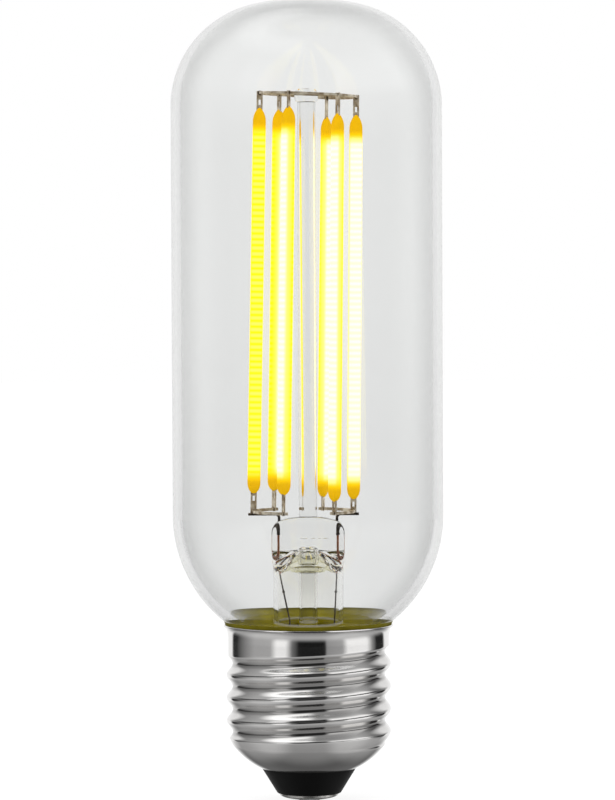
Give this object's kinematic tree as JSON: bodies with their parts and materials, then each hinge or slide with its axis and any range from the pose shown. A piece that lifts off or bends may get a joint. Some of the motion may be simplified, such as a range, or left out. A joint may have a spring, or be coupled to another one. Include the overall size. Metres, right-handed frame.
{
  "type": "tubular light bulb",
  "caption": "Clear tubular light bulb with a domed glass envelope, upright glowing filaments round a glass post, and a threaded metal screw cap with an insulated centre contact.",
  "frame": {"origin": "centre of the flat foot of the solder on the centre contact, on the lamp's axis", "axes": "+Z along the lamp's axis from the cap to the dome, -Y towards the picture's viewer, +X to the picture's right"},
  "size_m": [0.043, 0.043, 0.1275],
  "materials": {
    "clear_glass": "clear blown glass",
    "cap_metal": "bright nickel plate",
    "black_insulator": "black glass, glossy",
    "contact_metal": "plated sheet",
    "solder": "dull solder",
    "olive_cement": "hardened cement",
    "phosphor": "phosphor in silicone, lit",
    "cage_wire": "dull rolled wire",
    "lead_wire": "dull drawn wire",
    "copper_wire": "copper-clad wire",
    "board_laminate": "lacquered laminate",
    "moulded_black": "moulded plastic",
    "ferrite": "sintered core",
    "capacitor_sleeve": "shrunk sleeve",
    "ceramic": "glazed ceramic"
  },
  "bodies": {
    "root": {"basing_cement": "olive_cement", "bridge_rectifier": "moulded_black", "cap_insulator": "black_insulator", "centre_contact": "contact_metal", "choke": "ferrite", "contact_solder": "solder", "contact_wire": "lead_wire", "driver_board": "board_laminate", "driver_chip": "moulded_black", "filament_1": "phosphor", "filament_1_lower_tab": "cage_wire", "filament_1_upper_tab": "cage_wire", "filament_2": "phosphor", "filament_2_lower_tab": "cage_wire", "filament_2_upper_tab": "cage_wire", "filament_3": "phosphor", "filament_3_lower_tab": "cage_wire", "filament_3_upper_tab": "cage_wire", "filament_4": "phosphor", "filament_4_lower_tab": "cage_wire", "filament_4_upper_tab": "cage_wire", "filament_5": "phosphor", "filament_5_lower_tab": "cage_wire", "filament_5_upper_tab": "cage_wire", "filament_6": "phosphor", "filament_6_lower_tab": "cage_wire", "filament_6_upper_tab": "cage_wire", "fuse_resistor": "ceramic", "glass_envelope": "clear_glass", "glass_stem": "clear_glass", "left_filament_rail": "cage_wire", "left_inner_lead": "lead_wire", "left_outer_lead": "lead_wire", "left_seal_wire": "copper_wire", "right_filament_rail": "cage_wire", "right_inner_lead": "lead_wire", "right_outer_lead": "lead_wire", "right_seal_wire": "copper_wire", "ring_cross_wire": "cage_wire", "screw_shell": "cap_metal", "shell_wire": "lead_wire", "smoothing_capacitor": "capacitor_sleeve", "top_ring": "cage_wire"}
  },
  "joints": []
}
